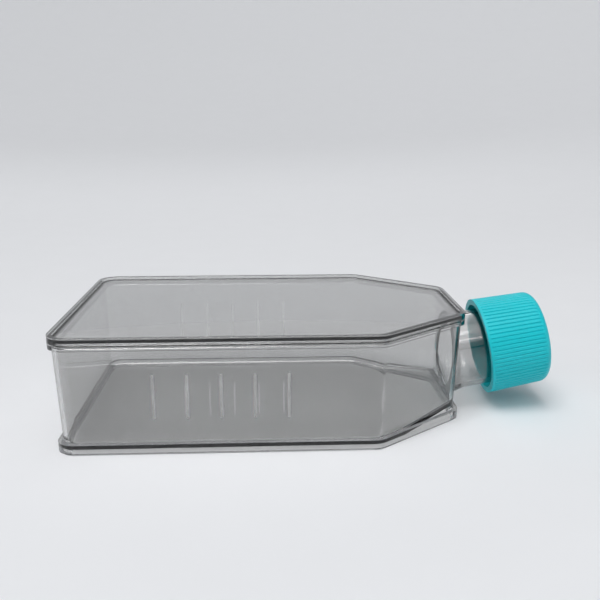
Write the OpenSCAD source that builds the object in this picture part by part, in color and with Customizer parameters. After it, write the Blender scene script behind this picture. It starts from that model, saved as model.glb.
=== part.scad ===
// Cell culture flask with 75 cm2 of growth floor.
// A clear moulded tray carries the floor, the shoulders and a canted screw neck. A flat
// cover with a stacking rim is welded on top, and a ribbed vent cap closes the neck.
// Millimetres. +X runs from the closed end to the neck, +Z is up, and the culture floor
// lies down. The origin is the middle of the overall footprint, on the table.

/* [Body] */
// Width across the rims
body_w = 84; // [74:0.5:100]
// Height from the table to the top of the stacking rim
body_h = 37.8; // [37.5:0.1:46]
// Length of the straight sides, from the closed end to the shoulders
side_len = 101; // [84:1:125]
// Angle of the shoulders to the sides, in plan
shoulder_deg = 38; // [30:1:45]
// Width of the front wall that carries the neck
front_w = 37; // [36:0.5:44]
// Radius of the rims' corners, in plan
corner_r = 6.5; // [5.5:0.1:8]
// Thickness of the moulded walls and of the floor
wall_t = 1.3; // [1:0.1:1.7]
// Draft of the side walls, which narrow towards the floor
draft_deg = 2; // [0.5:0.5:3]
// Radius inside, between the floor and the walls
floor_r = 1.8; // [1:0.1:3.5]
// Length of level floor, from the closed end to the pouring ramp
ramp_start = 108; // [104:1:112]

/* [Rims and foot] */
// Distance that the rims stand out past the wall
rim_proud = 1.2; // [0.8:0.1:1.6]
// Thickness of the tray's weld flange
flange_t = 1.4; // [1:0.1:2]
// Height of the cover's edge
cover_edge_h = 2.6; // [2.3:0.1:3.2]
// Thickness of the cover's plate
cover_t = 1.4; // [1:0.1:1.6]
// Depth of the stacking recess, from the rim down to the plate
stack_h = 0.8; // [0.5:0.1:1]
// Width of the stacking rim
stack_rim_w = 1.6; // [1.2:0.1:2]
// Clearance between a foot and the stacking rim below it
stack_gap = 0.3; // [0.2:0.1:0.5]
// Height of the foot band above the table
foot_h = 3.7; // [3:0.1:4.5]
// Distance from the rims' outline in to the foot band
foot_inset = 0.9; // [0.6:0.1:1.2]
// Gap between the table and the underside of the floor
floor_lift = 1.2; // [0.9:0.1:1.5]
// Depth of the shadow gap along the weld
seam_depth = 0.5; // [0.3:0.1:0.7]
// Height of the shadow gap along the weld
seam_h = 0.35; // [0.2:0.05:0.5]
// Height of the cover's locating rib
locate_h = 1.3; // [0.8:0.1:2]
// Thickness of the cover's locating rib
locate_t = 1; // [0.8:0.1:1.2]
// Clearance between the locating rib and the tray's wall
locate_gap = 0.2; // [0.15:0.05:0.3]

/* [Volume marks] */
// Number of marks on each side wall
mark_count = 5; // [1:1:6]
// Distance from the closed end to the first mark
mark_first = 31.3; // [20:0.1:34]
// Distance between marks
mark_pitch = 10.2; // [8:0.1:10.2]
// Height of a mark
mark_len = 14; // [8:1:18]
// Width of a mark
mark_w = 0.6; // [0.3:0.1:0.8]
// Distance that a mark stands out of the wall
mark_proud = 0.25; // [0.1:0.05:0.3]

/* [Neck] */
// Upward cant of the neck and of the pouring ramp
neck_deg = 10; // [6:1:12]
// Radius of the bore
neck_bore_r = 11.6; // [10:0.1:12]
// Thickness of the neck's wall
neck_wall = 1.8; // [1.4:0.1:1.9]
// Length of the neck along its axis, from the front wall to the lip
neck_len = 27.5; // [24:0.5:32]
// Step from the ramp up to the lowest line of the bore
ramp_step = 0.3; // [0.2:0.1:0.6]
// Width of the collar that blends the neck into the front wall
collar_w = 1.2; // [0.6:0.1:1.4]
// Length of that collar
collar_len = 2.4; // [1.5:0.1:4]
// Bevel on the inner and the outer edge of the lip
lip_bevel = 0.4; // [0.2:0.1:0.6]

/* [Screw thread] */
// Number of thread starts
thread_starts = 2; // [1:1:3]
// Rise of the cap in one turn
thread_lead = 8; // [7:0.5:10]
// Height of the neck's thread
thread_h = 1.1; // [0.8:0.1:1.2]
// Width of a thread at its root
thread_root_w = 2; // [1.6:0.1:2.2]
// Width of a thread at its crest
thread_crest_w = 0.9; // [0.7:0.1:1.2]
// Turns that each thread makes
thread_turns = 0.85; // [0.5:0.05:0.9]
// Radial clearance between each thread's crest and the wall that it faces
thread_gap = 0.4; // [0.3:0.05:0.6]
// Distance from the lip to the middle of the neck's thread at its upper end
thread_lip = 3; // [2.5:0.1:4]

/* [Cap] */
// Length of the cap
cap_len = 21.2; // [19:0.1:23]
// Thickness of the skirt at its mouth, ribs included
cap_wall = 1.95; // [1.6:0.05:2.4]
// Taper of the skirt, which narrows towards the closed end
cap_taper_deg = 2.3; // [0:0.1:2.5]
// Radius of the edge round the closed end
cap_edge_r = 3; // [2:0.1:3.5]
// Thickness of the closed end
cap_end_t = 1.6; // [1.2:0.1:2]
// Depth of the dish in the closed end
cap_dish = 0.8; // [0.4:0.1:1.2]
// Width of the flat rim between the dish and the round edge
cap_rim_w = 1.8; // [1:0.1:2.2]
// Number of grip ribs
rib_count = 72; // [48:1:96]
// Depth of the grooves between the ribs
rib_depth = 0.35; // [0.2:0.05:0.4]
// Plain band at the mouth of the skirt, below the ribs
rib_start = 1; // [0.5:0.1:2]

/* [Vent] */
// Number of vent windows
window_count = 6; // [4:1:8]
// Distance from the seal ring's bore in to the windows
window_margin = 0.9; // [0.5:0.1:2]
// Radius of the hub between the windows
hub_r = 2.8; // [2:0.1:4]
// Width of the spokes between the windows
spoke_w = 1.8; // [1.2:0.1:2.4]
// Thickness of the filter membrane
membrane_t = 0.4; // [0.2:0.1:0.6]
// Distance that the membrane reaches out past the windows
membrane_margin = 3.2; // [2:0.1:4]
// Thickness of the seal ring
seal_t = 1; // [0.8:0.1:1.5]
// Distance that the seal ring reaches in past the neck's bore
seal_step = 1.3; // [0.8:0.1:1.8]
// Clearance between the seal ring and the cap's skirt
seal_gap = 0.3; // [0.2:0.05:0.4]

/* [Hidden] */

clear_plastic = [0.84, 0.88, 0.89, 0.45];
cap_teal = [0.13, 0.74, 0.77];
membrane_white = [0.96, 0.96, 0.94];
seal_white = [0.86, 0.89, 0.88];

round_fn = 96;
blend_fn = 32;
// Length by which a cut runs past the face that it opens
cut_past = 1;
// Depth by which a joined shape is sunk into what carries it
sunk = 0.3;

// Levels
seam_z = body_h - cover_edge_h;
floor_top = floor_lift + wall_t;
flange_z = seam_z - flange_t;
plate_top = body_h - stack_h;
plate_z = plate_top - cover_t;

// Plan
body_len = side_len + (body_w - front_w) / 2 / tan(shoulder_deg);
draft_in = (flange_z - floor_top - floor_r) * tan(draft_deg);
skirt_inset = rim_proud + draft_in + 0.1;
skirt_in = skirt_inset + wall_t;

// Neck and cap, as distances along the neck's axis from the front wall's outline
neck_r = neck_bore_r + neck_wall;
neck_z = floor_top + ramp_step + (body_len - ramp_start) * tan(neck_deg) + neck_bore_r / cos(neck_deg);
cap_in_s = neck_len + seal_t + membrane_t;
cap_dish_s = cap_in_s + cap_end_t;
cap_end_s = cap_dish_s + cap_dish;
cap_s = cap_end_s - cap_len;
cap_bore_r = neck_r + thread_h + thread_gap;
cap_r = cap_bore_r + cap_wall;
cap_edge_s = cap_end_s - cap_edge_r;
cap_edge_mid_r = cap_r - (cap_edge_s - cap_s) * tan(cap_taper_deg) - cap_edge_r / cos(cap_taper_deg);
cap_dish_r = cap_edge_mid_r - cap_rim_w;

// Vent
seal_bore_r = neck_bore_r - seal_step;
window_r = seal_bore_r - window_margin;
membrane_r = window_r + membrane_margin;

// Thread
thread_pitch = thread_lead / thread_starts;
thread_fn = 40;
thread_fade = 5;
neck_thread_s = neck_len - thread_lip - thread_turns * thread_lead;
cap_thread_s = neck_thread_s - thread_pitch / 2;

overall_len = body_len + cap_edge_s * cos(neck_deg) + cap_edge_mid_r * sin(neck_deg) + cap_edge_r;

// Corners of the outline on the +Y side, set in by d: closed end, shoulder, front wall
function outline_corner(i, d) =
    i == 0 ? [d, body_w / 2 - d] :
    i == 1 ? [side_len - d * tan(shoulder_deg / 2), body_w / 2 - d] :
    [body_len - d, front_w / 2 - d * (1 - sin(shoulder_deg)) / cos(shoulder_deg)];

// Directions that the outline's edges face: closed end, side, shoulder, front wall
edge_normals = [[-1, 0], [0, 1], [sin(shoulder_deg), cos(shoulder_deg)], [1, 0]];

// Points where the edges, set in by d, meet the corner arcs, whose radius is r at d = 0
function tangent_points(d, r) = [
    for (i = [0:2], k = [0, 1])
        outline_corner(i, r) + (r - d) * edge_normals[i + k]
];

function mirrored(points) = [for (i = [len(points) - 1:-1:0]) [points[i].x, -points[i].y]];

// The body's outline in plan, set in by d, with round corners of radius r at d = 0
module outline(d, r = corner_r) {
    half = tangent_points(d, r);
    polygon(concat(half, mirrored(half)));
    for (i = [0:2], side = [-1, 1])
        translate([outline_corner(i, r).x, side * outline_corner(i, r).y])
            circle(r = r - d, $fn = round_fn);
}

// A slab of the body's outline, from z up by h
module slab(d, z, h) {
    translate([0, 0, z])
        linear_extrude(h)
            outline(d);
}

// A wall that follows the body's outline
module ring(d_out, d_in, z, h, r_out = corner_r, r_in = corner_r) {
    translate([0, 0, z])
        linear_extrude(h)
            difference() {
                outline(d_out, r_out);
                outline(d_in, r_in);
            }
}

// A disc whose lower edge is rounded, down from z = 0
module round_disc(r, edge_r) {
    rotate_extrude($fn = blend_fn)
        intersection() {
            union() {
                translate([r - edge_r, 0])
                    circle(edge_r, $fn = blend_fn);
                translate([0, -edge_r])
                    square([r - edge_r, edge_r]);
            }
            translate([0, -edge_r])
                square([r, edge_r]);
        }
}

// Centres of the floor's corners on the +Y side: closed end, shoulder, foot of the ramp, front
corner_in_r = corner_r - rim_proud - wall_t;
fillet_in = rim_proud + wall_t + draft_in + corner_in_r;
ramp_x = ramp_start - (corner_in_r - floor_r) - floor_r * tan(neck_deg / 2);
fillet_shoulder = outline_corner(1, fillet_in);
fillet_front = outline_corner(2, fillet_in);
fillet_ramp_y = fillet_shoulder.y
    - (ramp_x - fillet_shoulder.x) * (fillet_shoulder.y - fillet_front.y)
    / (fillet_front.x - fillet_shoulder.x);
fillet_centres = [
    outline_corner(0, fillet_in),
    fillet_shoulder,
    [ramp_x, fillet_ramp_y],
    fillet_front
];
function fillet_z(x) = floor_top + floor_r + max(0, x - ramp_x) * tan(neck_deg);
skirt_top = fillet_z(fillet_front.x);

// The tub's form: drafted walls, round corners, a filleted floor and the ramp.
// grow is the distance outside the inner face, and up is how far it passes the weld.
module tub(grow, up) {
    hull() {
        for (side = [-1, 1]) {
            for (i = [0:2])
                translate([outline_corner(i, corner_r).x, side * outline_corner(i, corner_r).y, flange_z])
                    cylinder(r = corner_in_r + grow, h = flange_t + up, $fn = blend_fn);
            for (c = fillet_centres)
                translate([c.x, side * c.y, fillet_z(c.x)])
                    round_disc(corner_in_r + grow, floor_r + grow);
        }
    }
}

// Places what is drawn along the neck's axis, with the front wall at 0
module on_neck() {
    translate([body_len, 0, neck_z])
        rotate([0, 90 - neck_deg, 0])
            children();
}

// Puts the body's closed end so that the whole footprint is centred on the origin
module in_place() {
    translate([-overall_len / 2, 0, 0])
        children();
}

// One helical ridge from a wall at surface_r to crest_r, inside or outside it. It fades
// into the wall at both ends.
module thread_ridge(surface_r, crest_r, s, phase) {
    out = sign(crest_r - surface_r);
    steps = round(thread_turns * thread_fn);
    root_r = surface_r - out * sunk;
    low_r = surface_r - out * sunk / 3;
    points = [
        for (i = [0:steps])
            let (
                deg = phase + 360 * thread_turns * i / steps,
                mid = s + thread_lead * thread_turns * i / steps,
                top_r = low_r + (crest_r - low_r) * min(1, i / thread_fade, (steps - i) / thread_fade)
            )
            for (p = [
                [root_r, -thread_root_w / 2],
                [top_r, -thread_crest_w / 2],
                [top_r, thread_crest_w / 2],
                [root_r, thread_root_w / 2]
            ])
                [p[0] * cos(deg), p[0] * sin(deg), mid + p[1]]
    ];
    sides = [
        for (i = [0:steps - 1], k = [0:3], half = [0, 1])
            let (a = 4 * i + k, b = 4 * i + (k + 1) % 4)
            half == 0 ? [a, b, b + 4] : [a, b + 4, a + 4]
    ];
    last = 4 * steps;
    ends = [[0, 3, 2], [0, 2, 1], [last, last + 1, last + 2], [last, last + 2, last + 3]];
    faces = concat(sides, ends);
    polyhedron(points, out > 0 ? faces : [for (f = faces) [f[2], f[1], f[0]]]);
}

module threads(surface_r, crest_r, s) {
    for (start = [0:thread_starts - 1])
        thread_ridge(surface_r, crest_r, s, 360 * start / thread_starts);
}

// Volume marks on both side walls, leaning with the draft
module volume_marks() {
    mark_z = (foot_h + flange_z - mark_len) / 2;
    wall_in = rim_proud + (flange_z - mark_z) * tan(draft_deg);
    for (side = [-1, 1], i = [0:mark_count - 1])
        translate([mark_first + i * mark_pitch, side * (body_w / 2 - wall_in), mark_z])
            rotate([-side * draft_deg, 0, 0])
                translate([-mark_w / 2, side > 0 ? -sunk : -mark_proud, 0])
                    cube([mark_w, mark_proud + sunk, mark_len]);
}

module neck_tube() {
    on_neck() {
        translate([0, 0, -2 * wall_t - draft_in])
            cylinder(r = neck_r, h = neck_len - lip_bevel + 2 * wall_t + draft_in, $fn = round_fn);
        translate([0, 0, neck_len - lip_bevel])
            cylinder(r1 = neck_r, r2 = neck_r - lip_bevel, h = lip_bevel, $fn = round_fn);
        translate([0, 0, -rim_proud - draft_in - wall_t / 2])
            cylinder(
                r1 = neck_r + collar_w,
                r2 = neck_r,
                h = collar_len + rim_proud + draft_in,
                $fn = round_fn
            );
        threads(neck_r, neck_r + thread_h, neck_thread_s);
    }
}

module flask_body() {
    color(clear_plastic)
        in_place()
            difference() {
                union() {
                    tub(wall_t, 0);
                    ring(0, rim_proud + wall_t, flange_z, flange_t);
                    ring(skirt_inset, skirt_in, stack_h, skirt_top - stack_h, fillet_in, fillet_in);
                    ring(foot_inset, skirt_in, stack_h, foot_h - stack_h, corner_r, fillet_in);
                    ring(stack_rim_w + stack_gap, skirt_in, 0, foot_h, corner_r, fillet_in);
                    volume_marks();
                    neck_tube();
                }
                tub(0, cut_past);
                on_neck() {
                    translate([0, 0, -fillet_in])
                        cylinder(r = neck_bore_r, h = neck_len + fillet_in + cut_past, $fn = round_fn);
                    translate([0, 0, neck_len - lip_bevel])
                        cylinder(
                            r1 = neck_bore_r,
                            r2 = neck_bore_r + lip_bevel + cut_past,
                            h = lip_bevel + cut_past,
                            $fn = round_fn
                        );
                }
            }
}

module top_cover() {
    land = seam_h + cut_past / 4;
    color(clear_plastic)
        in_place() {
            slab(seam_depth, plate_z, cover_t);
            ring(0, stack_rim_w, seam_z + seam_h, cover_edge_h - seam_h);
            ring(seam_depth, rim_proud + wall_t, seam_z, land);
            ring(
                rim_proud + wall_t + locate_gap,
                rim_proud + wall_t + locate_gap + locate_t,
                seam_z - locate_h,
                locate_h + plate_z - seam_z + sunk
            );
        }
}

// Outer form of the cap: tapered skirt with a round edge at the closed end
module cap_profile() {
    polygon([
        [0, cap_s],
        [cap_r, cap_s],
        [
            cap_edge_mid_r + cap_edge_r * cos(cap_taper_deg),
            cap_edge_s + cap_edge_r * sin(cap_taper_deg)
        ],
        [cap_edge_mid_r, cap_end_s],
        [0, cap_end_s]
    ]);
    translate([cap_edge_mid_r, cap_edge_s])
        circle(cap_edge_r, $fn = round_fn);
}

// Grooves that leave the grip ribs standing, leaning with the skirt's taper
module rib_grooves() {
    side = rib_depth * sqrt(2);
    for (i = [0:rib_count - 1])
        rotate([0, 0, 360 * i / rib_count])
            translate([cap_r, 0, cap_s + rib_start])
                rotate([0, -cap_taper_deg, 0])
                    rotate([0, 0, 45])
                        translate([-side / 2, -side / 2, 0])
                            cube([side, side, cap_len]);
}

module vent_windows() {
    translate([0, 0, cap_in_s - cut_past])
        linear_extrude(cap_end_t + 2 * cut_past)
            difference() {
                circle(window_r, $fn = round_fn);
                circle(hub_r, $fn = round_fn);
                for (i = [0:window_count - 1])
                    rotate(360 * i / window_count)
                        translate([0, -spoke_w / 2])
                            square([window_r + cut_past, spoke_w]);
            }
}

module cap_shell() {
    color(cap_teal)
        in_place()
            on_neck() {
                difference() {
                    rotate_extrude($fn = round_fn)
                        cap_profile();
                    translate([0, 0, cap_s - cut_past])
                        cylinder(r = cap_bore_r, h = cap_in_s - cap_s + cut_past, $fn = round_fn);
                    translate([0, 0, cap_dish_s])
                        cylinder(r = cap_dish_r, h = cap_dish + cut_past, $fn = round_fn);
                    vent_windows();
                    rib_grooves();
                }
                threads(cap_bore_r, neck_r + thread_gap, cap_thread_s);
            }
}

module vent_membrane() {
    color(membrane_white)
        in_place()
            on_neck()
                translate([0, 0, neck_len + seal_t])
                    cylinder(r = membrane_r, h = membrane_t, $fn = round_fn);
}

module seal_ring() {
    color(seal_white)
        in_place()
            on_neck()
                translate([0, 0, neck_len])
                    difference() {
                        cylinder(r = cap_bore_r - seal_gap, h = seal_t, $fn = round_fn);
                        translate([0, 0, -cut_past])
                            cylinder(r = seal_bore_r, h = seal_t + 2 * cut_past, $fn = round_fn);
                    }
}

flask_body();
top_cover();
cap_shell();
vent_membrane();
seal_ring();
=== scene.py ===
import math

import bmesh
import bpy
from bpy.props import FloatProperty, FloatVectorProperty, IntProperty, PointerProperty
from bpy.types import Operator, Panel, PropertyGroup
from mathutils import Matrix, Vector


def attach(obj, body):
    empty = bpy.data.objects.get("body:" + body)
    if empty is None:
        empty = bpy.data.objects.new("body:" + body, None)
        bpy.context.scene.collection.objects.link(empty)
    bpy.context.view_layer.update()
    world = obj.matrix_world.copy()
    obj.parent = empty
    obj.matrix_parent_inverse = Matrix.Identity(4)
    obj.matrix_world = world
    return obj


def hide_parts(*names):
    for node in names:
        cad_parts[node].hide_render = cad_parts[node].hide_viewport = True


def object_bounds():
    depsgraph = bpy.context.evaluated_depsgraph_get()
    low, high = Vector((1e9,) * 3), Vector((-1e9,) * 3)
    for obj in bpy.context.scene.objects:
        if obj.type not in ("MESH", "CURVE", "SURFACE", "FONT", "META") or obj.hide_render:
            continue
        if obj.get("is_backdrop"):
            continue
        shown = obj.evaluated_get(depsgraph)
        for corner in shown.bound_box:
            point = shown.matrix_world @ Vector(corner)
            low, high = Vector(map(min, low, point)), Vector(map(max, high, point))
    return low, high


bl_info = {
    "name": "Cell Culture Flask",
    "version": (1, 0, 0),
    "blender": (4, 5, 0),
    "location": "3D View > Sidebar > Flask",
    "description": "Finishes a clear culture flask with a ribbed vent cap on its studio floor",
    "category": "Object",
}

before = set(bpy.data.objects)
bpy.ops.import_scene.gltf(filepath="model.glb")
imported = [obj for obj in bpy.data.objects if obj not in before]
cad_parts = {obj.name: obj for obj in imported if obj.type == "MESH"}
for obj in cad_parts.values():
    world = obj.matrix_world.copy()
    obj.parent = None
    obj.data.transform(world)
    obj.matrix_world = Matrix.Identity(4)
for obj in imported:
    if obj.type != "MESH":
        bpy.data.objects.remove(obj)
cad_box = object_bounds()

MM = 0.001
CLEAR_PLASTIC = "clear_plastic"
WHITE = (1, 1, 1)

SAME_POINT = 0.002 * MM  # corners nearer than this are one
FLAT = math.radians(0.4)  # faces that lean less than this lie in one plane
SHARP = math.radians(32)  # edges sharper than this keep their line and are rounded
LARGE_FACES = 90  # how far the large faces lead the shading; 50 is evenly

# Fineness of the patterns, in cells a metre
WALL_FLOW = 35
WALL_HAZE = 900
CAP_CLOUD = 60
CAP_GRAIN = 5200
FELT_GRAIN = 4200
SEAL_GRAIN = 2500
PAPER_CLOUD = 40

# Heights of the patterns that show as relief
WALL_RELIEF = 0.015 * MM
CAP_RELIEF = 0.02 * MM
FELT_RELIEF = 0.05 * MM
SEAL_RELIEF = 0.02 * MM

SWEEP_BANDS = 16
SWEEP_SIDES = 96

# Where parts of the room begin and are full, as the sine of the angle above level
WALLS_BAND = (0.28, 0.33)
CEILING_BAND = (0.72, 0.9)
PANEL_BAND = (0.55, 0.7)

KEY_WAY = (0.25, 0.35, -1)  # where the light from above points

# Name, place, size in metres, and the value in StageLooks that gives its power
LAMPS = (
    ("overhead", (-0.05, -0.15, 0.6), (0.4, 0.4), "overhead"),
    ("fill", (0.0, -1.25, 0.95), (1.8, 0.8), "fill"),
    ("back_strip", (-0.1, 0.75, 0.45), (1.0, 0.1), "strip"),
    ("front_strip", (0.0, -0.55, 0.6), (1.2, 0.025), "strip"),
    ("left_strip", (-0.6, -0.45, 0.35), (0.025, 0.5), "strip"),
    ("right_strip", (0.65, -0.35, 0.45), (0.025, 0.4), "strip"),
)


# Sizes and colours that a user may change


class FlaskLooks(PropertyGroup):
    """Clear moulded plastic of the tray and its cover."""

    tint: FloatVectorProperty(
        name="Tint",
        description="Colour that the clear plastic gives to light at each surface",
        subtype="COLOR",
        size=3,
        min=0,
        max=1,
        default=(0.74, 0.74, 0.735),
    )
    lamp_pass: FloatProperty(
        name="Light let through",
        description="Part of a lamp's light that passes each surface on its way to the floor",
        default=0.77,
        min=0,
        max=1,
    )
    depth_colour: FloatVectorProperty(
        name="Depth colour",
        description="Colour that the clear plastic takes on where light runs along it",
        subtype="COLOR",
        size=3,
        min=0,
        max=1,
        default=(0.335, 0.335, 0.33),
    )
    depth: FloatProperty(
        name="Depth",
        description="Absorption of the clear plastic for each metre that light runs in it",
        default=40,
        min=0,
        max=400,
    )
    index: FloatProperty(
        name="Refractive index",
        description="Refractive index of the clear plastic",
        default=1.59,
        min=1.3,
        max=1.8,
    )
    polish: FloatProperty(
        name="Polish",
        description="Roughness of the bare plastic",
        default=0.004,
        min=0,
        max=0.1,
    )
    haze: FloatProperty(
        name="Haze",
        description="Roughness that the finest unevenness adds",
        default=0.012,
        min=0,
        max=0.1,
    )
    frost: FloatProperty(
        name="Frost",
        description="Roughness that the volume marks add",
        default=0.9,
        min=0,
        max=1,
    )
    mark_first: FloatProperty(
        name="First mark",
        description="Place of the volume mark nearest to the closed end",
        default=-50.81 * MM,
        unit="LENGTH",
        precision=5,
    )
    mark_pitch: FloatProperty(
        name="Mark pitch",
        description="Distance between volume marks",
        default=10.2 * MM,
        min=MM,
        unit="LENGTH",
        precision=5,
    )
    mark_count: IntProperty(
        name="Marks",
        description="Number of volume marks on each side",
        default=5,
        min=1,
        max=6,
    )
    mark_width: FloatProperty(
        name="Mark width",
        description="Width of the frosted strip on each volume mark",
        default=0.7 * MM,
        min=0.1 * MM,
        unit="LENGTH",
        precision=5,
    )
    mark_height: FloatProperty(
        name="Mark height",
        description="Height of the marks' middle above the table",
        default=18.75 * MM,
        unit="LENGTH",
        precision=5,
    )
    mark_length: FloatProperty(
        name="Mark length",
        description="Length of the frosted strip on each volume mark",
        default=14 * MM,
        min=MM,
        unit="LENGTH",
        precision=5,
    )
    mark_depth: FloatProperty(
        name="Mark depth",
        description="Distance from the flask's middle beyond which the marks are frosted",
        default=39.6 * MM,
        unit="LENGTH",
        precision=5,
    )
    edge_round: FloatProperty(
        name="Edge rounding",
        description="Radius that the mould leaves on the rims and the foot",
        default=0.25 * MM,
        min=0.02 * MM,
        max=0.3 * MM,
        unit="LENGTH",
        precision=5,
    )


class CapLooks(PropertyGroup):
    """Coloured cap, its membrane and its seal."""

    teal: FloatVectorProperty(
        name="Teal",
        description="Colour of the cap",
        subtype="COLOR",
        size=3,
        min=0,
        max=1,
        default=(0.006, 0.505, 0.57),
    )
    membrane: FloatVectorProperty(
        name="Membrane",
        description="Colour of the filter membrane",
        subtype="COLOR",
        size=3,
        min=0,
        max=1,
        default=(0.86, 0.86, 0.84),
    )
    seal: FloatVectorProperty(
        name="Seal",
        description="Colour of the seal ring",
        subtype="COLOR",
        size=3,
        min=0,
        max=1,
        default=(0.72, 0.75, 0.74),
    )
    cap_round: FloatProperty(
        name="Cap edge rounding",
        description="Radius of the cap's and the ribs' edges",
        default=0.06 * MM,
        min=0.01 * MM,
        max=0.1 * MM,
        unit="LENGTH",
        precision=5,
    )
    disc_round: FloatProperty(
        name="Membrane edge rounding",
        description="Radius of the membrane's edge",
        default=0.05 * MM,
        min=0.01 * MM,
        max=0.1 * MM,
        unit="LENGTH",
        precision=5,
    )
    seal_round: FloatProperty(
        name="Seal edge rounding",
        description="Radius of the seal ring's edges",
        default=0.1 * MM,
        min=0.01 * MM,
        max=0.2 * MM,
        unit="LENGTH",
        precision=5,
    )


class StageLooks(PropertyGroup):
    """Floor, light and camera."""

    floor: FloatVectorProperty(
        name="Floor",
        description="Colour of the floor and of the room",
        subtype="COLOR",
        size=3,
        min=0,
        max=1,
        default=(0.80, 0.81, 0.83),
    )
    key: FloatProperty(
        name="Key light",
        description="Strength of the soft light from above",
        default=1.3,
        min=0,
        max=5,
    )
    key_spread: FloatProperty(
        name="Key light spread",
        description="Angle that the soft light from above fills",
        default=math.radians(30),
        min=0,
        max=math.radians(180),
        subtype="ANGLE",
    )
    overhead: FloatProperty(
        name="Overhead light",
        description="Power of the wide light over the flask",
        default=0.5,
        min=0,
        max=10,
        unit="POWER",
    )
    fill: FloatProperty(
        name="Fill light",
        description="Power of the wide light in front of the flask",
        default=2.4,
        min=0,
        max=10,
        unit="POWER",
    )
    strip: FloatProperty(
        name="Strip light",
        description="Power of each narrow light that draws the edges",
        default=0.5,
        min=0,
        max=10,
        unit="POWER",
    )
    room: FloatProperty(
        name="Room light",
        description="Strength of the light that comes from all round",
        default=0.8,
        min=0,
        max=2,
    )
    walls: FloatProperty(
        name="Walls",
        description="Brightness of the room above the sweep, against the floor's",
        default=0.05,
        min=0,
        max=1,
    )
    ceiling: FloatProperty(
        name="Ceiling",
        description="Brightness straight above, against the floor's",
        default=1.0,
        min=0,
        max=2,
    )
    panel: FloatProperty(
        name="Ceiling panel",
        description="Brightness overhead as the plastic mirrors and bends it, against the floor's",
        default=3.0,
        min=0,
        max=6,
    )
    sweep_flat: FloatProperty(
        name="Level floor",
        description="Distance from the flask to where the sweep starts to rise",
        default=0.5,
        min=0.3,
        max=2,
        unit="LENGTH",
    )
    sweep_curve: FloatProperty(
        name="Sweep radius",
        description="Radius of the sweep's rise",
        default=2.5,
        min=1,
        max=5,
        unit="LENGTH",
    )
    sweep_rise: FloatProperty(
        name="Sweep rise",
        description="Slope that the sweep reaches at its edge",
        default=math.radians(43),
        min=math.radians(20),
        max=math.radians(90),
        subtype="ANGLE",
    )
    eye: FloatVectorProperty(
        name="Camera place",
        description="Where the camera stands",
        subtype="TRANSLATION",
        unit="LENGTH",
        size=3,
        default=(-0.016, -0.250, 0.102),
    )
    target: FloatVectorProperty(
        name="Camera target",
        description="What the camera points at",
        subtype="TRANSLATION",
        unit="LENGTH",
        size=3,
        default=(-0.005, 0.0, 0.038),
    )
    lens: FloatProperty(
        name="Lens",
        description="Focal length of the camera",
        default=44.5,
        min=20,
        max=200,
    )


# Materials


class Socket:
    """One output of a node. Arithmetic on it adds Math nodes."""

    def __init__(self, graph, output):
        self.graph = graph
        self.output = output

    def _math(self, operation, a, b):
        return self.graph.node("ShaderNodeMath", {"operation": operation}, {0: a, 1: b})

    def __add__(self, other):
        return self._math("ADD", self, other)

    def __radd__(self, other):
        return self._math("ADD", other, self)

    def __sub__(self, other):
        return self._math("SUBTRACT", self, other)

    def __rsub__(self, other):
        return self._math("SUBTRACT", other, self)

    def __mul__(self, other):
        return self._math("MULTIPLY", self, other)

    def __rmul__(self, other):
        return self._math("MULTIPLY", other, self)

    def __truediv__(self, other):
        return self._math("DIVIDE", self, other)

    def __rtruediv__(self, other):
        return self._math("DIVIDE", other, self)

    def __gt__(self, other):
        return self._math("GREATER_THAN", self, other)

    def __lt__(self, other):
        return self._math("LESS_THAN", self, other)

    def __abs__(self):
        return self._math("ABSOLUTE", self, 0)

    def __round__(self):
        return self._math("ROUND", self, 0)


class Graph:
    """A material's or the world's node tree, built from Python expressions."""

    def __init__(self, owner):
        owner.use_nodes = True
        self.tree = owner.node_tree
        self.tree.nodes.clear()

    def node(self, kind, settings=None, values=None, output=0):
        """Adds a node, applies its settings, then fills or links its input sockets."""
        made = self.tree.nodes.new(kind)
        for name, setting in (settings or {}).items():
            setattr(made, name, setting)
        for name, value in (values or {}).items():
            if isinstance(value, Socket):
                self.tree.links.new(value.output, made.inputs[name])
            else:
                made.inputs[name].default_value = value
        return Socket(self, made.outputs[output]) if made.outputs else None

    def noise(self, scale, detail=2.0, roughness=0.5, stretch=(1, 1, 1)):
        """Noise on the piece's own coordinates. Scale is in cells a metre."""
        place = self.node("ShaderNodeTexCoord", output="Object")
        place = self.node("ShaderNodeMapping", {}, {"Vector": place, "Scale": stretch})
        return self.node(
            "ShaderNodeTexNoise",
            {},
            {"Vector": place, "Scale": scale, "Detail": detail, "Roughness": roughness},
        )

    def mix(self, factor, a, b):
        """A colour between a and b."""
        made = self.tree.nodes.new("ShaderNodeMix")
        made.data_type = "RGBA"
        # The node's other sockets are for numbers and vectors
        for socket, value in zip((made.inputs[0], made.inputs[6], made.inputs[7]), (factor, a, b)):
            if isinstance(value, Socket):
                self.tree.links.new(value.output, socket)
            else:
                socket.default_value = value
        return Socket(self, made.outputs[2])

    def place(self):
        """The piece's own X, Y and Z, in metres."""
        made = self.node("ShaderNodeTexCoord", output="Object")
        split = self.node("ShaderNodeSeparateXYZ", {}, {"Vector": made}).output.node
        return [Socket(self, output) for output in split.outputs]

    def step(self, value, start, end):
        """0 below start, 1 above end, and smooth between."""
        return self.node(
            "ShaderNodeMapRange",
            {"interpolation_type": "SMOOTHSTEP"},
            {"Value": value, "From Min": start, "From Max": end},
        )

    def bump(self, height, distance, strength=1.0):
        """A normal from a height map, distance in metres."""
        return self.node(
            "ShaderNodeBump", {}, {"Height": height, "Distance": distance, "Strength": strength}
        )


def rgba(colour, gain=1.0):
    """A colour with full alpha, made lighter or darker by gain."""
    return (*(channel * gain for channel in colour), 1.0)


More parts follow.
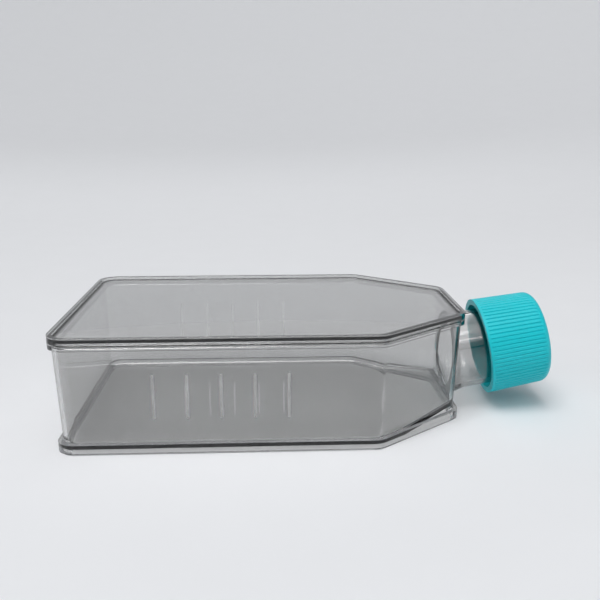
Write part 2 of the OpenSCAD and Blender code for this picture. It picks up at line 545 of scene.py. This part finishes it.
def clouded(graph, pattern, colour, low, high=1.0):
    """The colour, with low of its brightness where the pattern is 0 and high where it is 1."""
    return graph.mix(pattern, rgba(colour, low), rgba(colour, high))


def finish_material(name, paint):
    """A new material whose Principled sockets are filled by paint(graph)."""
    material = bpy.data.materials.new(name)
    graph = Graph(material)
    shader = graph.node("ShaderNodeBsdfPrincipled", {}, paint(graph))
    graph.node("ShaderNodeOutputMaterial", {}, {"Surface": shader})
    return material


def on_marks(graph, looks):
    """1 on the volume marks of both side walls, 0 elsewhere."""
    x, y, z = graph.place()
    order = (x - looks.mark_first) / looks.mark_pitch
    nearest = round(order)
    across = abs(order - nearest) * looks.mark_pitch < looks.mark_width / 2
    counted = (nearest > -0.5) * (nearest < looks.mark_count - 0.5)
    along = abs(z - looks.mark_height) < looks.mark_length / 2
    return across * counted * along * (abs(y) > looks.mark_depth)


def clear_polystyrene(looks):
    """Clear moulded plastic with frosted marks, which lets the lamps through to the floor."""
    if CLEAR_PLASTIC in bpy.data.materials:
        return bpy.data.materials[CLEAR_PLASTIC]
    material = bpy.data.materials.new(CLEAR_PLASTIC)
    graph = Graph(material)
    flow = graph.noise(WALL_FLOW, detail=3, stretch=(0.4, 1, 1))
    haze = graph.noise(WALL_HAZE)
    frost = on_marks(graph, looks)
    plain = clouded(graph, flow, looks.tint, 0.985)
    shader = graph.node(
        "ShaderNodeBsdfPrincipled",
        {},
        {
            "Base Color": graph.mix(frost, plain, rgba(WHITE)),
            "Roughness": looks.polish + looks.haze * haze + looks.frost * frost,
            "Normal": graph.bump(flow, WALL_RELIEF, 0.5),
            "IOR": looks.index,
            "Transmission Weight": 1.0,
        },
    )
    lamp_ray = graph.node("ShaderNodeLightPath", output="Is Shadow Ray")
    shade = graph.node("ShaderNodeBsdfTransparent", {}, {"Color": rgba(WHITE, looks.lamp_pass)})
    surface = graph.node("ShaderNodeMixShader", {}, {0: lamp_ray, 1: shader, 2: shade})
    depth = graph.node(
        "ShaderNodeVolumeAbsorption",
        {},
        {"Color": rgba(looks.depth_colour), "Density": looks.depth},
    )
    graph.node("ShaderNodeOutputMaterial", {}, {"Surface": surface, "Volume": depth})
    return material


def teal_plastic(looks):
    """Satin cap plastic with a fine moulded grain."""

    def paint(graph):
        grain = graph.noise(CAP_GRAIN)
        cloud = graph.noise(CAP_CLOUD)
        return {
            "Base Color": clouded(graph, cloud, looks.teal, 0.94, 1.05),
            "Roughness": 0.34 + 0.12 * grain,
            "Normal": graph.bump(grain, CAP_RELIEF, 0.6),
            "IOR": 1.5,
            "Specular IOR Level": 0.3,
        }

    return finish_material("teal_cap", paint)


def filter_membrane(looks):
    """Matt white filter with a felted surface."""

    def paint(graph):
        felt = graph.noise(FELT_GRAIN, detail=5, roughness=0.7)
        return {
            "Base Color": clouded(graph, felt, looks.membrane, 0.9, 1.08),
            "Roughness": 0.85 + 0.1 * felt,
            "Normal": graph.bump(felt, FELT_RELIEF),
        }

    return finish_material("membrane", paint)


def soft_seal(looks):
    """Soft pale ring."""

    def paint(graph):
        grain = graph.noise(SEAL_GRAIN)
        return {
            "Base Color": clouded(graph, grain, looks.seal, 0.95),
            "Roughness": 0.5 + 0.15 * grain,
            "Normal": graph.bump(grain, SEAL_RELIEF, 0.5),
        }

    return finish_material("seal", paint)


# Pieces


def moulded_copy(node, name, body, material, round_by):
    """The CAD node's form as one welded mesh with smooth walls and rounded mould edges."""
    mesh = bpy.data.meshes.new(name)
    form = bmesh.new()
    form.from_mesh(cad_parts[node].data)
    bmesh.ops.remove_doubles(form, verts=form.verts, dist=SAME_POINT)
    bmesh.ops.dissolve_limit(
        form,
        angle_limit=FLAT,
        use_dissolve_boundaries=False,
        verts=form.verts,
        edges=form.edges,
        delimit=set(),
    )
    for face in form.faces:
        face.smooth = True
    for edge in form.edges:
        edge.smooth = edge.is_manifold and edge.calc_face_angle() < SHARP
    form.to_mesh(mesh)
    form.free()
    mesh.materials.append(material)
    piece = bpy.data.objects.new(name, mesh)
    bpy.context.collection.objects.link(piece)
    rounding = piece.modifiers.new("mould_edges", "BEVEL")
    rounding.width = round_by
    rounding.segments = 3
    rounding.limit_method = "ANGLE"
    rounding.angle_limit = SHARP
    rounding.use_clamp_overlap = True
    rounding.harden_normals = False
    level = piece.modifiers.new("level_walls", "WEIGHTED_NORMAL")
    level.keep_sharp = True
    level.weight = LARGE_FACES
    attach(piece, body)
    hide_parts(node)


class FLASK_OT_tray(Operator):
    """Makes the moulded tray with its neck"""

    bl_idname = "flask.tray"
    bl_label = "Tray and neck"

    def execute(self, context):
        looks = context.scene.flask_looks
        moulded_copy(
            "flask_body", "tray", "flask",
            clear_polystyrene(looks), looks.edge_round,
        )
        return {"FINISHED"}


class FLASK_OT_cover(Operator):
    """Makes the welded cover with its stacking rim"""

    bl_idname = "flask.cover"
    bl_label = "Cover"

    def execute(self, context):
        looks = context.scene.flask_looks
        moulded_copy(
            "top_cover", "cover", "flask",
            clear_polystyrene(looks), looks.edge_round,
        )
        return {"FINISHED"}


class FLASK_OT_cap(Operator):
    """Makes the ribbed cap"""

    bl_idname = "flask.cap"
    bl_label = "Cap"

    def execute(self, context):
        looks = context.scene.cap_looks
        moulded_copy("cap_shell", "cap", "cap", teal_plastic(looks), looks.cap_round)
        return {"FINISHED"}


class FLASK_OT_vent(Operator):
    """Makes the filter membrane and the seal ring"""

    bl_idname = "flask.vent"
    bl_label = "Vent membrane and seal"

    def execute(self, context):
        looks = context.scene.cap_looks
        moulded_copy(
            "vent_membrane", "filter_disc", "cap_insert",
            filter_membrane(looks), looks.disc_round,
        )
        moulded_copy(
            "seal_ring", "seal", "cap_insert",
            soft_seal(looks), looks.seal_round,
        )
        return {"FINISHED"}


# Stage


def stand(context, name, data, place, way):
    """A lamp or the camera at a place, turned to look along way."""
    holder = bpy.data.objects.new(name, data)
    holder.location = place
    holder.rotation_euler = Vector(way).to_track_quat("-Z", "Y").to_euler()
    context.collection.objects.link(holder)
    return holder


def soft_box(context, name, place, target, size, power):
    """A rectangular lamp that faces the target. Power is in watts."""
    lamp = bpy.data.lights.new(name, "AREA")
    lamp.shape = "RECTANGLE"
    lamp.size, lamp.size_y = size
    lamp.energy = power
    stand(context, name, lamp, place, target - Vector(place))


def studio_sweep(context, looks):
    """A round floor that rises into a wall all round, so that no horizon shows."""
    form = bmesh.new()
    profile = [form.verts.new((0, 0, 0))]
    for band in range(SWEEP_BANDS + 1):
        slope = looks.sweep_rise * band / SWEEP_BANDS
        place = (
            looks.sweep_flat + looks.sweep_curve * math.sin(slope),
            0,
            looks.sweep_curve * (1 - math.cos(slope)),
        )
        profile.append(form.verts.new(place))
    edges = [form.edges.new(pair) for pair in zip(profile, profile[1:])]
    bmesh.ops.spin(
        form,
        geom=profile + edges,
        cent=(0, 0, 0),
        axis=(0, 0, 1),
        angle=math.tau,
        steps=SWEEP_SIDES,
        use_merge=True,
        use_duplicate=False,
    )
    bmesh.ops.remove_doubles(form, verts=form.verts, dist=MM)
    bmesh.ops.recalc_face_normals(form, faces=form.faces)
    for face in form.faces:
        face.smooth = True
    mesh = bpy.data.meshes.new("sweep")
    form.to_mesh(mesh)
    form.free()

    def paint(graph):
        cloud = graph.noise(PAPER_CLOUD)
        return {
            "Base Color": clouded(graph, cloud, looks.floor, 0.99, 1.01),
            "Roughness": 0.9,
            "Specular IOR Level": 0.0,
        }

    mesh.materials.append(finish_material("sweep_paper", paint))
    sweep = bpy.data.objects.new("sweep", mesh)
    context.collection.objects.link(sweep)
    return sweep


def studio_room(context, looks):
    """Light from all round: pale as the floor, with dark walls and a pale ceiling.

    What the plastic mirrors or bends also shows a brighter panel overhead.
    """
    world = bpy.data.worlds.new("room")
    context.scene.world = world
    graph = Graph(world)
    up = graph.node("ShaderNodeTexCoord", output="Generated")
    height = graph.node("ShaderNodeSeparateXYZ", {}, {"Vector": up}, output="Z")
    walls = graph.step(height, *WALLS_BAND)
    ceiling = graph.step(height, *CEILING_BAND)
    room = graph.mix(walls, rgba(looks.floor), rgba(looks.floor, looks.walls))
    room = graph.mix(ceiling, room, rgba(looks.floor, looks.ceiling))
    mirrored = graph.node("ShaderNodeLightPath", output="Is Glossy Ray")
    bent = graph.node("ShaderNodeLightPath", output="Is Transmission Ray")
    panel = (mirrored + bent) * graph.step(height, *PANEL_BAND)
    room = graph.mix(panel, room, rgba(looks.floor, looks.panel))
    light = graph.node("ShaderNodeBackground", {}, {"Color": room, "Strength": looks.room})
    graph.node("ShaderNodeOutputWorld", {}, {"Surface": light})


def key_light(context, looks):
    """The soft light from above."""
    sun = bpy.data.lights.new("key", "SUN")
    sun.energy = looks.key
    sun.angle = looks.key_spread
    stand(context, "key", sun, (0, 0, 0), KEY_WAY)


def studio_camera(context, looks, target):
    """The camera, which looks down on the flask's side."""
    camera = bpy.data.cameras.new("camera")
    camera.lens = looks.lens
    camera.clip_start = 10 * MM
    way = target - Vector(looks.eye)
    context.scene.camera = stand(context, "camera", camera, looks.eye, way)


class FLASK_OT_stage(Operator):
    """Makes the floor, the lights, the room and the camera"""

    bl_idname = "flask.stage"
    bl_label = "Stage"

    def execute(self, context):
        looks = context.scene.stage_looks
        target = Vector(looks.target)
        sweep = studio_sweep(context, looks)
        sweep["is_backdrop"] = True
        studio_room(context, looks)
        key_light(context, looks)
        for name, place, size, power in LAMPS:
            soft_box(context, name, place, target, size, getattr(looks, power))
        studio_camera(context, looks, target)
        context.scene.view_settings.view_transform = "Standard"
        return {"FINISHED"}


class FLASK_PT_pieces(Panel):
    """Lists the pieces that can be made"""

    bl_label = "Cell Culture Flask"
    bl_idname = "FLASK_PT_pieces"
    bl_space_type = "VIEW_3D"
    bl_region_type = "UI"
    bl_category = "Flask"

    def draw(self, context):
        for looks in ("flask_looks", "cap_looks", "stage_looks"):
            group = getattr(context.scene, looks)
            box = self.layout.box()
            for name in group.bl_rna.properties.keys():
                if name not in ("rna_type", "name"):
                    box.prop(group, name)
        for operator in OPERATORS:
            self.layout.operator(operator.bl_idname)


OPERATORS = (FLASK_OT_tray, FLASK_OT_cover, FLASK_OT_cap, FLASK_OT_vent, FLASK_OT_stage)
GROUPS = {"flask_looks": FlaskLooks, "cap_looks": CapLooks, "stage_looks": StageLooks}


def register():
    for cls in (*GROUPS.values(), *OPERATORS, FLASK_PT_pieces):
        bpy.utils.register_class(cls)
    for name, group in GROUPS.items():
        setattr(bpy.types.Scene, name, PointerProperty(type=group))


def unregister():
    for name in GROUPS:
        delattr(bpy.types.Scene, name)
    for cls in reversed((*GROUPS.values(), *OPERATORS, FLASK_PT_pieces)):
        bpy.utils.unregister_class(cls)


def main():
    register()
    bpy.ops.flask.tray()
    bpy.ops.flask.cover()
    bpy.ops.flask.cap()
    bpy.ops.flask.vent()
    bpy.ops.flask.stage()
    boxes = {"cad": cad_box, "visual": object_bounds()}
    {name: [list(corner) for corner in box] for name, box in boxes.items()}


if __name__ == "__main__":
    main()
